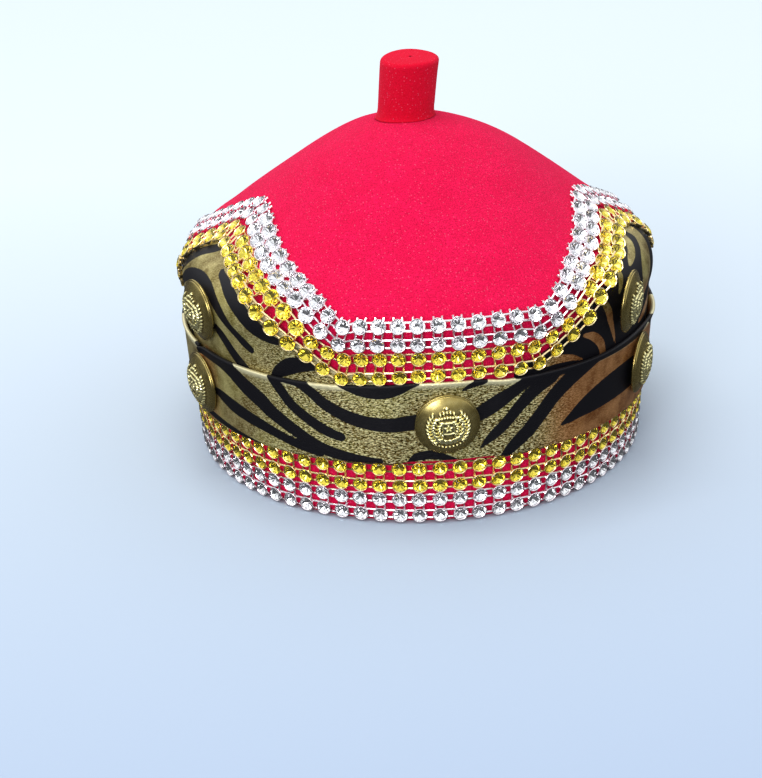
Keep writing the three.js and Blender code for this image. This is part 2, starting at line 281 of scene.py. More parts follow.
py = py + STALK["y"] + STALK["lean_y"] * up
drop = (1 - up / STALK["height"]) * (CROWN_HEIGHT - dome_z(np.hypot(px, py)))
points = np.stack([px, py, foot + up - drop], -1) / 1000
faces = ring_faces(STALK_SIDES, len(section), around=True)
bottom = tuple(i * len(section) for i in range(STALK_SIDES))
faces.append(bottom)
faces.append(tuple(i * len(section) + len(section) - 1 for i in reversed(range(STALK_SIDES))))
stalk = make_piece("felt_stalk", points, faces, wool_felt)
give(stalk, "stalk_shade", np.full(len(stalk.data.vertices), STALK_SHADE))
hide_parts("stalk")
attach(stalk, "root")


# Band
# A strip of leather with a gold foil face, printed black in a tiger pattern, laid round the wall and
# glued, its long edges turned under. The ends meet on one side, where a corner has curled up.
# The leather's distance from the felt, its thickness, and how far it stands off the shoulder's bend
GAP = 0.4
LEATHER = 1.2
BRIDGE = 0.9
BAND = {"low": 26.9, "high": 60.3, "thick": 1.7, "seam": -71.0, "opening": 2.4}
FLAP = {"tuck": 54.0, "start": 16.0, "end": 107.0}
REAR = {"dip": 4.0, "from": 98.0, "to": 122.0}


def over_flap(degrees):
    """0 away from the flaps, 1 on them, for what has to lie over their leather."""
    side = np.abs(degrees)
    return smoothstep(np.minimum(side - (FLAP["start"] - 8), FLAP["end"] + 8 - side) / 6)


def rear_dip(degrees):
    """How much lower the band's top edge and the upper trims run behind the flaps."""
    return REAR["dip"] * smoothstep((np.abs(degrees) - REAR["from"]) / (REAR["to"] - REAR["from"]))


def bridge(rise):
    """1 in the middle of the shoulder and 0 away from it: how far leather stands off the bend there."""
    middle = (wall_end + shoulder_end) / 2
    return smoothstep(2 * (1 - np.abs(rise - middle) / (shoulder_end - wall_end)))


def slack(degrees):
    """How far the leather stands off the bend, in mm: it is pulled tight behind the flaps' tips."""
    return BRIDGE * (1 - smoothstep((np.abs(degrees) - 78) / 10))


# The print, charted: each stroke is black ink or bare gold, laid in this order, through
# points of (angle from the front, rise up the felt, half width in mm).
BAND_FRONT_LEFT = [
    [(-73, 60, 0.8), (-69, 58.8, 1.8), (-62, 59, 2.8), (-56.7, 57.2, 3.6), (-51.7, 52.5, 4),
     (-47, 48.2, 4), (-44.3, 44.8, 3.6), (-41.3, 41.7, 3.2), (-36.5, 37.2, 2.8), (-31, 32.2, 2.7),
     (-23.7, 29.2, 2.2), (-16, 28.2, 1)],
    [(-66, 43.8, 0.8), (-62, 42.7, 2.4), (-57, 40.3, 3.2), (-52, 38.4, 3), (-47, 36.5, 2.6),
     (-42, 34.2, 2.2), (-37, 31.8, 2), (-31, 29.4, 1.6)],
    [(-72, 30, 1.4), (-66, 29.6, 1.6), (-60.7, 29, 1.3), (-54, 28, 1), (-48, 27.2, 0.5)],
    [(-43, 62, 2.2), (-41.8, 58.5, 2.5), (-40, 54.5, 2.5), (-37.4, 49.1, 2.4), (-32.5, 43.2, 2.4),
     (-28.5, 39.6, 2.3), (-25.4, 37.8, 2)],
    [(-42, 61, 1.8), (-38.5, 60.8, 2.2), (-35.3, 59.8, 2.2), (-32, 56.2, 2.4), (-28.5, 51.4, 2.6),
     (-23, 46.8, 2.8), (-17.7, 44.5, 3), (-12.3, 44, 3.2), (-7.3, 44.6, 3.3), (-2, 46, 2.4)],
    [(-25.8, 61.4, 0.8), (-22, 60, 2.4), (-18.7, 59, 3.2), (-15.3, 58.9, 3.4), (-11.5, 59.8, 2.8),
     (-7, 61.6, 0.8)],
]
BAND_FRONT_RIGHT = [
    [(3.2, 57.2, 0.5), (5, 59, 1.2), (8, 60.8, 1.8)],
    [(-9.6, 27.2, 0.8), (-7.5, 29.4, 1.8), (-4, 30, 2), (-1, 28.6, 1.4), (1.5, 27.5, 0.5)],
    [(3, 43, 2.4), (8, 46.8, 3.2), (12, 51.6, 3.1), (15.3, 55.2, 2.8), (18.5, 58.3, 2.6), (22, 61, 2.6)],
    [(7.5, 31.3, 0.4), (10, 35.6, 1.8), (13.3, 41.4, 2.3), (16.7, 48, 2.7), (20.7, 54, 3.1),
     (25, 58.2, 3.4)],
    [(12.4, 26, 1.2), (15.2, 30.8, 2.6), (19.3, 36.8, 3.2), (22.5, 42.8, 3.3), (25.8, 49, 3.5),
     (30, 54.4, 3.8), (35, 58.2, 3.4), (42, 61.6, 1.6)],
    [(16, 62.4, 2.4), (24, 61.2, 3), (30, 60.8, 3.4), (37, 60.6, 2.8), (44, 60.2, 2.2), (52, 60, 2),
     (60, 59.8, 1.8), (66, 60.8, 0.8)],
    [(28.2, 35, 0.5), (31.2, 37, 2.2), (35, 39.6, 4), (39.5, 41.6, 5.6), (45, 43.2, 6.6), (51, 44, 7),
     (57, 44, 6.8), (64, 43.2, 6.2), (71, 41.6, 4.6), (77, 39.6, 2.6), (82, 38, 0.8)],
]
BAND_SIDE = [
    [(66, 60.6, 1), (71, 57.6, 2.2), (77, 52, 2.6), (83, 47, 2.4), (89, 43.4, 1.8), (94, 41, 0.8)],
    [(74, 28, 1.2), (80, 30.4, 2.4), (86, 34.4, 2.6), (92, 37.2, 1.8), (97, 38.6, 0.6)],
    [(84, 61, 2), (89, 57.6, 2.6), (95, 52.6, 2.8), (101, 49, 2.4), (107, 47.4, 1.2)],
]
FLAP_LEFT = [
    [(-72, 105.5, 0.6), (-74.7, 103.4, 1.5), (-80, 97.6, 3), (-84.7, 90.5, 3.4), (-90, 84, 3),
     (-97, 78, 2)],
    [(-98, 69, 2.6), (-89, 76, 2.6), (-83, 82.4, 2.6), (-78.3, 85.8, 2.5), (-73.7, 87.6, 2.3),
     (-69.5, 87.6, 2.2), (-65, 85.6, 2.2), (-59.3, 80.4, 2.1), (-55.3, 75.2, 2.1), (-51.7, 70.8, 2),
     (-49.4, 68.6, 1.7)],
    [(-66.2, 94.6, 1), (-65, 93.2, 1.5), (-62, 91.5, 1.9), (-58, 88.4, 2.4), (-52, 83.6, 2.9),
     (-46.7, 79, 3.2), (-42.5, 76.3, 2.5), (-39.3, 75, 1)],
    [(-67, 76, 1), (-64.3, 74.2, 1.8), (-60.3, 70, 2.4), (-56.3, 64.2, 2.5), (-52.5, 59, 2.7),
     (-49, 54, 2.7)],
    [(-43.4, 59, 0.8), (-41, 62.2, 2.8), (-37.5, 65.6, 3.6), (-34, 66.8, 2.9), (-30.8, 66, 1)],
    [(-99, 60, 1.4), (-92, 62.4, 2.6), (-86, 61.6, 2.8), (-80.5, 58, 2.4), (-76, 53, 1.8)],
]
FLAP_RIGHT_GOLD = [
    [(75, 99, 4), (75.3, 95.5, 4.4), (74.2, 90.5, 4.1), (70.5, 86.7, 3.8), (66.8, 83.6, 4.3),
     (64.4, 80.6, 4.7), (62.9, 75, 4.1), (61.1, 70.3, 1)],
    [(69.2, 98.5, 2.2), (67, 94.6, 2.2), (63, 91.4, 1.8), (59.5, 89.8, 1.4), (57.2, 88.6, 0.6)],
    [(50.6, 91, 0.8), (51.2, 88.4, 1.5), (49.8, 85.4, 1.3), (48, 82.6, 0.6)],
    [(40.6, 83.6, 1.2), (43, 78.2, 1.8), (45.2, 71.6, 1.5), (46.7, 65.7, 1), (47.8, 61, 0.4)],
    [(35.4, 70.6, 0.8), (38.6, 68.6, 1.8), (41.6, 64, 2), (42.8, 58.4, 1.8), (43.4, 54, 1.8)],
    [(23.5, 62.6, 1.2), (27.5, 63.4, 1.8), (31.6, 62.4, 1.3), (35, 60.2, 0.4)],
    [(62, 62, 0.8), (67, 63.6, 2), (72, 66, 2.4), (78, 69.6, 2.4), (84, 74.6, 2), (88.5, 80, 1)],
    [(72, 54, 2), (79, 57.6, 2.6), (86, 62, 2.6), (92, 67.2, 1.8), (97, 73, 1)],
]


def shifted(strokes, turned, mirrored=False, flipped=False):
    """Strokes moved round the cap, so that the print carries on past the part that was charted."""
    sign = -1 if mirrored else 1
    return [
        [
            (turned + sign * a, BAND["low"] + BAND["high"] - rise if flipped else rise, half)
            for a, rise, half in stroke
        ]
        for stroke in strokes
    ]


def stroke_distance(degrees, rise, stroke):
    """Distance in mm outside a tapered stroke's edge, negative inside it, over points on the felt."""
    pts = np.array(stroke, float)
    ends = np.concatenate([[2 * pts[0] - pts[1]], pts, [2 * pts[-1] - pts[-2]]])
    t = np.linspace(0, 1, 7)[:-1, None]
    smooth = []
    for p0, p1, p2, p3 in zip(ends, ends[1:], ends[2:], ends[3:]):
        smooth.append(0.5 * (2 * p1 + (p2 - p0) * t + (2 * p0 - 5 * p1 + 4 * p2 - p3) * t**2
                             + (3 * p1 - p0 - 3 * p2 + p3) * t**3))
    line = np.concatenate(smooth + [pts[-1:]])
    middle = line[:, 0].mean()
    scale = math.radians(1) * (RIM_RADIUS + 3)
    x = ((degrees - middle + 180) % 360 - 180) * scale
    lx = (line[:, 0] - middle) * scale
    best = np.full(np.shape(x), 99.0)
    near = np.abs(x) < np.abs(lx).max() + 12
    x, y = x[near], rise[near]
    found = np.full(x.shape, 99.0)
    for i in range(len(line) - 1):
        ax, ay, bx, by = lx[i], line[i, 1], lx[i + 1], line[i + 1, 1]
        length2 = max((bx - ax) ** 2 + (by - ay) ** 2, 1e-9)
        q = np.clip(((x - ax) * (bx - ax) + (y - ay) * (by - ay)) / length2, 0, 1)
        half = line[i, 2] + (line[i + 1, 2] - line[i, 2]) * q
        found = np.minimum(found, np.hypot(x - ax - q * (bx - ax), y - ay - q * (by - ay)) - half)
    best[near] = found
    return best


def printed(degrees, rise, inks, golds=(), ground=9.0):
    """The print as one value at each point: below 0 it is black ink, above 0 bare gold."""
    value = np.full(np.shape(degrees), ground)
    for stroke in inks:
        value = np.minimum(value, stroke_distance(degrees, rise, stroke))
    for stroke in golds:
        value = np.maximum(value, -stroke_distance(degrees, rise, stroke))
    return value


def leather_piece(name, loops, degrees, rise, value, material):
    """A leather strip from closed sections along it, with the print, copper tint, grain and painted edge
    highlight as attributes.
    """
    sections, corners = loops.shape[:2]
    faces = []
    for i in range(sections - 1):
        for j in range(corners):
            k = (j + 1) % corners
            a, b = i * corners, (i + 1) * corners
            faces.append((a + j, b + j, b + k, a + k))
    half = corners // 2
    for start, outward in ((0, False), ((sections - 1) * corners, True)):
        for j in range(half - 1):
            quad = (start + j, start + j + 1, start + corners - 2 - j, start + corners - 1 - j)
            faces.append(quad[::-1] if outward else quad)
    piece = make_piece(name, loops, faces, material)
    away, high = np.ravel(degrees), np.ravel(rise)
    copper = smoothstep((away - 17) / 14) * smoothstep((88 - away) / 12) * smoothstep((82 - high) / 8)
    seam = smoothstep((-67 - away) / 2) * smoothstep((away + 72) / 3)
    warm = np.maximum(seam, 0.6 * smoothstep((-61 - away) / 6) * smoothstep((away + 72) / 3))
    copper = np.maximum(copper, warm * (high < BAND["high"]))
    # How deep the grain is and how much of its painted glints and painted pit shade show: 1 at the front,
    # falling towards the sides, where a painted sheen takes over.
    crisp_and_glints = 1 - 0.85 * np.where(away > 0, smoothstep((away - 20) / 16), smoothstep((-34 - away) / 26))
    # Painted highlight: the top few millimetres of each section, along its turned edge, are marked to be
    # painted pale.
    up = high.reshape(sections, corners)
    edge_highlight = smoothstep((up - up.max(axis=1, keepdims=True) + 2.6) / 1.6)
    for key, values in (("ink", value), ("copper", copper), ("crisp_and_glints", crisp_and_glints), ("edge_highlight", edge_highlight)):
        give(piece, key, values)
    along = away * math.radians(1) * RIM_RADIUS
    give(piece, "flat", np.stack([along, high, 0 * along], -1) / 1000, "FLOAT_VECTOR", "vector")
    return piece


# Printed foil leather: a pale gold foil over fine pebbled grain, with matt black ink printed over it.
# At the front the grain's colour holds painted glints and painted shade in its pits; round the sides
# the grain is shallower and a broad painted sheen and shade lie over it instead. The foil is coppery
# on one side, and painted pale along the turned edge as a painted highlight.
foil_leather, tree = new_material("foil leather, printed")
place = add(tree, "ShaderNodeTexCoord").outputs["Object"]
ink, copper, crisp_and_glints, edge_highlight = (
    add(tree, "ShaderNodeAttribute", attribute_name=key).outputs["Fac"]
    for key in ("ink", "copper", "crisp_and_glints", "edge_highlight")
)
ragged = add(tree, "ShaderNodeTexNoise", {"Vector": place, "Scale": 900.0, "Detail": 2.0})
ragged_ink = add(tree, "ShaderNodeMath", {0: ragged, 1: 0.3, 2: ink}, operation="MULTIPLY_ADD")
ink_mask = add(tree, "ShaderNodeMapRange",
               {"Value": ragged_ink, "From Min": 0.05, "From Max": 0.25, "To Min": 1.0, "To Max": 0.0})
flat = add(tree, "ShaderNodeAttribute", attribute_name="flat").outputs["Vector"]
slanted = add(tree, "ShaderNodeMapping",
              {"Vector": flat, "Rotation": (0, 0, math.radians(38)), "Scale": (0.4, 1.0, 1.0)})
grain = add(tree, "ShaderNodeTexNoise",
            {"Vector": slanted, "Scale": 2200.0, "Detail": 1.5, "Roughness": 0.6, "Distortion": 0.8})
creases = add(tree, "ShaderNodeTexNoise", {"Vector": place, "Scale": 160.0, "Detail": 3.0})
crease_shade = add(tree, "ShaderNodeMapRange", {"Value": creases, "From Min": 0.35, "From Max": 0.65})
# The grain's colour: darkened in its pits as painted shade and lifted to near white on its high places as
# painted glints. Towards the sides the crease noise lays a broad painted sheen and painted shade in their
# place.
body = add(tree, "ShaderNodeMapRange", {"Value": grain, "From Min": 0.38, "From Max": 0.5})
spark = add(tree, "ShaderNodeMapRange", {"Value": grain, "From Min": 0.5, "From Max": 0.6})
sheen_shade = add(tree, "ShaderNodeMapRange", {"Value": crease_shade, "To Min": 0.55, "To Max": 0.9})
sheen = add(tree, "ShaderNodeMapRange", {"Value": crease_shade, "To Min": 0.0, "To Max": 0.25})
pit_shade = add(tree, "ShaderNodeMix", {0: crisp_and_glints, 2: sheen_shade, 3: body})
glinting = add(tree, "ShaderNodeMix", {0: crisp_and_glints, 2: sheen, 3: spark})
tarnish = add(tree, "ShaderNodeTexNoise", {"Vector": flat, "Scale": 45.0, "Detail": 1.0})
tarnish_shade = add(tree, "ShaderNodeMapRange", {"Value": tarnish, "From Min": 0.4, "From Max": 0.6})
# For the gold and the copper: the painted pit shade, a brown and a middle tone, and the painted glint colour.
toned = []
for dark, brown, middle, bright in (("#221804", "#8A7030", "#B0A052", "#FFF6B8"),
                                    ("#301A0A", "#A0602A", "#B8763A", "#F8C488")):
    between = add(tree, "ShaderNodeMix", {0: tarnish_shade, 6: brown, 7: middle}, data_type="RGBA")
    shaded = add(tree, "ShaderNodeMix", {0: pit_shade, 6: dark, 7: between}, data_type="RGBA")
    lit_grain = add(tree, "ShaderNodeMix", {0: glinting, 6: shaded, 7: bright}, data_type="RGBA")
    toned.append(lit_grain)
foil = add(tree, "ShaderNodeMix", {0: copper, 6: toned[0], 7: toned[1]}, data_type="RGBA")
# Painted highlight: pale along the turned edge.
foil_edge_lit = add(tree, "ShaderNodeMix", {0: edge_highlight, 6: foil, 7: "#EFE6B8"}, data_type="RGBA")
inked = add(tree, "ShaderNodeMix", {0: ink_mask, 6: foil_edge_lit, 7: "#0B0A10"}, data_type="RGBA")
metal = add(tree, "ShaderNodeMapRange", {"Value": ink_mask, "To Min": 0.6, "To Max": 0.0})
gloss = add(tree, "ShaderNodeMapRange", {"Value": ink_mask, "To Min": 0.34, "To Max": 0.5})
grain_depth = add(tree, "ShaderNodeMath", {0: grain, 1: crisp_and_glints}, operation="MULTIPLY")
grain_bump = add(tree, "ShaderNodeBump", {"Strength": 0.8, "Distance": 0.0003, "Height": grain_depth})
surface(tree, {"Base Color": inked, "Metallic": metal, "Roughness": gloss,
               "Specular IOR Level": 0.25, "Normal": grain_bump})


def rounded_section(low, high, under, thick, rows):
    """A strip's closed section as (rise, out) pairs: its face from low to high, then its back again."""
    r = thick / 2
    turn = np.radians(np.linspace(-90, 0, 5))[1:]
    face = [(low + r + r * math.sin(t), under + r + r * math.cos(t)) for t in turn]
    face += [(v, under + thick) for v in np.linspace(low + r, high - r, rows)[1:-1]]
    turn = np.radians(np.linspace(0, 90, 5))[:-1]
    face += [(high - r + r * math.sin(t), under + r + r * math.cos(t)) for t in turn]
    back = [(v, under) for v, _ in face[::-1]]
    back[0] = (high - 0.02, under + r * 0.7)
    back[-1] = (low + 0.02, under + r * 0.7)
    return np.array(face + back)


BAND_SECTIONS = 640
half_gap = math.degrees(BAND["opening"] / 2 / RIM_RADIUS)
band_angles = np.linspace(BAND["seam"] + half_gap, BAND["seam"] + 360 - half_gap, BAND_SECTIONS)
band_angles = np.where(band_angles > 180, band_angles - 360, band_angles)
from_start = np.linspace(0, 1, BAND_SECTIONS)
loops, degrees, rises = [], [], []
for a, u in zip(band_angles, from_start):
    under = GAP + float(over_flap(a)) * (LEATHER + GAP)
    high = BAND["high"] - float(rear_dip(a)) + 1.0 * math.exp(-(((a + 6) / 16) ** 4))
    s = rounded_section(BAND["low"], high, under, BAND["thick"], 34)
    v = (s[:, 0] - BAND["low"]) / (high - BAND["low"])
    rad = math.radians(a)
    # The upper edge leans out, most over the right temple, and its corner at the seam curls
    lip = 0.35 * math.sin(4 * rad + 0.8) + 0.3 * math.sin(9 * rad + 2.0) + 0.45
    lip = lip + 1.3 * math.exp(-(((a - 74) / 9) ** 2))
    curl = 1.6 * math.exp(-u * 500) * np.clip((v - 0.55) / 0.45, 0, 1) ** 2
    s[:, 1] += lip * np.clip((v - 0.8) / 0.2, 0, 1) ** 2 * 0.8 + curl
    loops.append(on_felt(a, s[:, 0], s[:, 1]))
    degrees.append(np.full(len(s), a))
    rises.append(s[:, 0])
loops, degrees, rises = np.array(loops), np.array(degrees), np.array(rises)
band_inks = (
    BAND_FRONT_LEFT
    + BAND_FRONT_RIGHT
    + BAND_SIDE
    + shifted(BAND_FRONT_LEFT, 104, mirrored=True)
    + shifted(BAND_FRONT_RIGHT, 186, flipped=True)
    + shifted(BAND_SIDE, 334, mirrored=True)
)
value = printed(degrees, rises, band_inks)
band = leather_piece("leather_band", loops, degrees, rises, value, foil_leather)
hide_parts("band")
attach(band, "root")


# Flaps
# Two shaped pieces of the same leather, one each side. Each is tucked behind the band, stands up the
# wall and bends over the shoulder to a tip, and its cut edge runs under the upper gold trim.
# The line that the flaps' edges follow: its height up the felt at the front, and for each arm the
# rise in mm and the angles from the front of its foot, tip and heel. Those named out hold where a row
# lies TRIM_REACH over the line.
EDGE_LEVEL = 61.6
EDGE_EASE = 1.12
HEEL_EASE = 2.3
HEEL_EASE_OUT = 1.1
LEFT_EDGE = {"rise": 40.6, "foot": 25.5, "foot_out": 23.5, "tip": 78.5, "heel": 108.5, "heel_out": 116.0}
RIGHT_EDGE = {"rise": 36.8, "foot": 20.0, "foot_out": 24.0, "tip": 75.0, "heel": 102.0, "heel_out": 114.0}
TRIM_REACH = 26.0
# Cut by hand, the edges stray from a smooth curve: how far, in mm, at angles from the front
EDGE_STRAY = (
    (-100, 0), (-86, 1.2), (-80, 0.3), (-74, -0.8), (-68, -1.6), (-62, -1.9), (-56, -1.9), (-50, -1.3),
    (-44, -0.4), (-38, 0.8), (-32, 0.3), (-26, -0.9), (-20, -0.3), (-14, 0), (14, 0), (20, -0.2),
    (26, -0.2), (32, 0.4), (38, 1.3), (44, 0.6), (50, -0.4), (56, -0.9), (62, -0.9), (68, -0.4),
    (74, 0.1), (86, 0.5), (100, 0),
)
FLAP_EDGE = 4.2
FLAP_KNEE = 0.62


def edge_rise(degrees, over):
    """Height up the felt of the flaps' edge line, moved out by a distance over it."""
    side = np.abs(degrees)
    rise, foot, foot_out, tip, heel, heel_out = (
        np.where(np.asarray(degrees) > 0, right, left)
        for right, left in zip(RIGHT_EDGE.values(), LEFT_EDGE.values())
    )
    foot = foot + (foot_out - foot) * over / TRIM_REACH
    heel = heel + (heel_out - heel) * over / TRIM_REACH
    front = np.clip((side - foot) / (tip - foot), 0, 1) ** EDGE_EASE
    heel_ease = HEEL_EASE + (HEEL_EASE_OUT - HEEL_EASE) * over / TRIM_REACH
    behind = np.clip((heel - side) / (heel - tip), 0, 1) ** heel_ease
    arm = np.sin(np.pi / 2 * np.where(side < tip, front, behind))
    stray = np.interp(degrees, *np.array(EDGE_STRAY, float).T)
    return EDGE_LEVEL + over + rise * arm + stray - rear_dip(degrees)


for name, hand, edge, inks, golds, ground in (("flap_left", -1, LEFT_EDGE, FLAP_LEFT, (), 9.0),
                                              ("flap_right", 1, RIGHT_EDGE, (), FLAP_RIGHT_GOLD, -9.0)):
    along = np.linspace(0, 1, 150)
    sides = np.where(
        along < FLAP_KNEE,
        FLAP["start"] + (edge["tip"] - FLAP["start"]) * along / FLAP_KNEE,
        edge["tip"] + (FLAP["end"] - edge["tip"]) * (along - FLAP_KNEE) / (1 - FLAP_KNEE),
    )
    loops, degrees, rises = [], [], []
    for side in sides if hand > 0 else sides[::-1]:
        top_edge = float(edge_rise(hand * side, FLAP_EDGE))
        s = rounded_section(FLAP["tuck"], top_edge, GAP, LEATHER, 56)
        s[:, 1] += slack(side) * bridge(s[:, 0]) - 0.1
        loops.append(on_felt(hand * side, s[:, 0], s[:, 1]))
        degrees.append(np.full(len(s), hand * side))
        rises.append(s[:, 0])
    loops, degrees, rises = np.array(loops), np.array(degrees), np.array(rises)
    value = printed(degrees, rises, inks, golds, ground)
    flap = leather_piece("leather_" + name, loops, degrees, rises, value, foil_leather)
    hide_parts(name)
    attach(flap, "root")


# Lower trims
# Rhinestone net sewn on by the roll, two rows wide: each cut stone sits in a round metal cup, and
# pairs of thin links join the cups both ways. Silver edges the rim, and gold lies above it.
STONE_RADIUS = 2.8
LOWER_PITCH = 7.95
# Of the links: their distance from a row's middle, where they start from a cup, and their height
LINK_SIDE = 1.65
CUP_SIDE = 2.1
LINK_LOW = 0.4
# The least distance between two stones of a row
CLOSEST = 5.7
# How far stones stray along the roll and along their row, the shortest link, and where a snipped link
# starts and how long it is
ROLL_STRAY = 0.2
ROW_STRAY = 0.12
SHORTEST = 0.6
STUB_START = 3.0
STUB_LENGTH = 1.7


def cut_stone():
    """A round stone: a table and 32 crown facets, and 24 pavilion facets down to a point in the cup."""
    points = []
    for r, z, count, start in ((1.5, 2.3, 8, 0), (2.2, 1.98, 8, 22.5), (STONE_RADIUS, 1.48, 16, 0),
                               (1.45, 0.74, 8, 22.5), (0.0, 0.18, 1, 0)):
        for k in range(count):
            a = math.radians(start + 360 * k / count)
            points.append((r * math.cos(a) / 1000, r * math.sin(a) / 1000, z / 1000))
    table, mid, girdle, low, culet = 0, 8, 16, 32, 40
    upper, lower = [tuple(range(8))], []
    for k in range(8):
        n = (k + 1) % 8
        g0, g1, g2 = girdle + 2 * k, girdle + 2 * k + 1, girdle + 2 * n
        upper += [(table + k, mid + k, table + n), (table + k, mid + (k - 1) % 8, g0, mid + k)]
        upper += [(mid + k, g0, g1), (mid + k, g1, g2)]
        lower += [(g1, g0, low + k), (g2, g1, low + k), (g2, low + k, culet, low + n)]
    return points, upper + lower, [0] * len(upper) + [1] * len(lower)


def cup():
    """The metal cup round a stone: a plain ring, flared to its lip."""
    points, faces = [], []
    profile = ((2.6, 0.0), (3.1, 1.3), (3.14, 1.7), (2.98, 1.86), (2.7, 1.6))
    sides = 16
    for k in range(sides):
        a = 2 * math.pi * k / sides
        for r, z in profile:
            points.append((r * math.cos(a) / 1000, r * math.sin(a) / 1000, z / 1000))
    for k in range(sides):
        n = (k + 1) % sides
        for j in range(5):
            i = (j + 1) % 5
            faces.append((k * 5 + j, n * 5 + j, n * 5 + i, k * 5 + i))
    return points, faces, [2] * len(faces)


def link():
    """A link one millimetre long, to be stretched: a flat bar with its two upper edges rounded off."""
    section = ((-0.46, 0.0), (0.46, 0.0), (0.46, 0.18), (0.12, 0.62), (-0.12, 0.62), (-0.46, 0.18))
    points = [(x / 1000, y / 1000, z / 1000) for x in (-0.5, 0.5) for y, z in section]
    faces = [tuple(range(5, -1, -1)), tuple(range(6, 12))]
    for j in range(6):
        i = (j + 1) % 6
        faces.append((j, i, 6 + i, 6 + j))
    return points, faces, [2] * len(faces)


def source_part(name, shape):
    """An object that Geometry Nodes repeats, with each face's material number as an attribute."""
    points, faces, parts = shape
    mesh = bpy.data.meshes.new(name)
    mesh.from_pydata(points, [], faces)
    mesh.attributes.new("part", "INT", "FACE").data.foreach_set("value", parts)
    made = bpy.data.objects.new(name, mesh)
    bpy.context.scene.collection.objects.link(made)
    return made


stone_source = source_part("cut stone", cut_stone())
cup_source = source_part("cup", cup())
link_source = source_part("link", link())

# The tree that lays a trim. Its input is a mesh of single points, one for each stone or link, with
# the point's kind, its direction along the row, its direction out of the felt, and a link's length
# in mm or a stone's scale.
net_tree = bpy.data.node_groups.new("rhinestone net", "GeometryNodeTree")
panel = net_tree.interface
panel.new_socket("Geometry", in_out="INPUT", socket_type="NodeSocketGeometry")
NET_INPUTS = {"Stone": "Object", "Cup": "Object", "Link": "Object", "Tilt": "Float", "Seed": "Int",
              "Glass": "Material", "Foil": "Material", "Metal": "Material"}
for socket_name, socket_type in NET_INPUTS.items():
    panel.new_socket(socket_name, in_out="INPUT", socket_type="NodeSocket" + socket_type)
panel.new_socket("Geometry", in_out="OUTPUT", socket_type="NodeSocketGeometry")
given = add(net_tree, "NodeGroupInput").outputs


def named(kind, name):
    reader = add(net_tree, "GeometryNodeInputNamedAttribute", {"Name": name}, data_type=kind)
    return reader.outputs["Attribute"]


outward = named("FLOAT_VECTOR", "outward")
forward = named("FLOAT_VECTOR", "forward")
facing = add(net_tree, "FunctionNodeAxesToRotation", {0: outward, 1: forward},
             primary_axis="Z", secondary_axis="X")
tip = add(net_tree, "FunctionNodeRandomValue", {"Seed": given["Seed"]}, data_type="FLOAT_VECTOR")
centred = add(net_tree, "ShaderNodeVectorMath", {0: tip, 1: (0.5, 0.5, 0.5)}, operation="SUBTRACT")
tipped = add(net_tree, "ShaderNodeVectorMath", {0: centred, "Scale": given["Tilt"]}, operation="SCALE")
spin = add(net_tree, "ShaderNodeVectorMath", {0: tipped, 1: (1.0, 1.0, 12.0)}, operation="MULTIPLY")
wobble = add(net_tree, "FunctionNodeEulerToRotation", {0: spin})
stone_turn = add(net_tree, "FunctionNodeRotateRotation", {0: facing, 1: wobble}, rotation_space="LOCAL")
is_link = add(net_tree, "FunctionNodeCompare", {2: named("INT", "kind"), 3: 1},
              data_type="INT", operation="EQUAL")
parted = add(net_tree, "GeometryNodeSeparateGeometry",
             {"Geometry": given["Geometry"], "Selection": is_link}, domain="POINT")
laid = add(net_tree, "GeometryNodeJoinGeometry")
stretch = add(net_tree, "ShaderNodeCombineXYZ", {0: named("FLOAT", "length"), 1: 1.0, 2: 1.0})
for source, points_out, rotation, scale in (
    ("Stone", 1, stone_turn, named("FLOAT", "length")),
    ("Cup", 1, facing, named("FLOAT", "length")),
    ("Link", 0, facing, stretch),
):
    shape = add(net_tree, "GeometryNodeObjectInfo", {"Object": given[source]})
    placed = add(net_tree, "GeometryNodeInstanceOnPoints", {
        "Points": parted.outputs[points_out], "Instance": shape.outputs["Geometry"],
        "Rotation": rotation, "Scale": scale,
    })
    net_tree.links.new(placed.outputs[0], laid.inputs[0])
flow = add(net_tree, "GeometryNodeRealizeInstances", {"Geometry": laid}).outputs[0]
for number, socket_name in enumerate(("Glass", "Foil", "Metal")):
    same = add(net_tree, "FunctionNodeCompare", {2: named("INT", "part"), 3: number},
               data_type="INT", operation="EQUAL")
    flow = add(net_tree, "GeometryNodeSetMaterial",
               {"Geometry": flow, "Selection": same, "Material": given[socket_name]}).outputs[0]
add(net_tree, "NodeGroupOutput", {"Geometry": flow})

# Cut stones: clear or yellow crystal with a mirror foil on the pavilion, so that light goes in
# through the crown, off two pavilion facets and out again. The facets look black and white at once.
stone_finishes = {}
for kind, glass_colour, foil_colour, metal_colour in (
    ("clear", "#FFFFFF", "#F8F9FB", "#F8EFF4"),
    ("yellow", "#FBEF86", "#F4EBA6", "#FBE6AE"),
):
    glass, tree = new_material(kind + " crystal, cut")
    surface(tree, {"Base Color": glass_colour, "Roughness": 0.0, "IOR": 1.25, "Transmission Weight": 1.0})
    mirror, tree = new_material(kind + " stone foil")
    surface(tree, {"Base Color": foil_colour, "Metallic": 1.0, "Roughness": 0.06})
    netting, tree = new_material(kind + " stone net, plated metal")
    place = add(tree, "ShaderNodeTexCoord").outputs["Object"]
    worn = add(tree, "ShaderNodeTexNoise", {"Vector": place, "Scale": 500.0, "Detail": 2.0})
    rub = add(tree, "ShaderNodeMapRange", {"Value": worn, "To Min": 0.16, "To Max": 0.34})
    surface(tree, {"Base Color": metal_colour, "Metallic": 1.0, "Roughness": rub})
    stone_finishes[kind] = (glass, mirror, netting)


def unit(v):
    """Vectors of the same directions and of length 1."""
    return v / np.maximum(np.linalg.norm(v, axis=-1, keepdims=True), 1e-12)


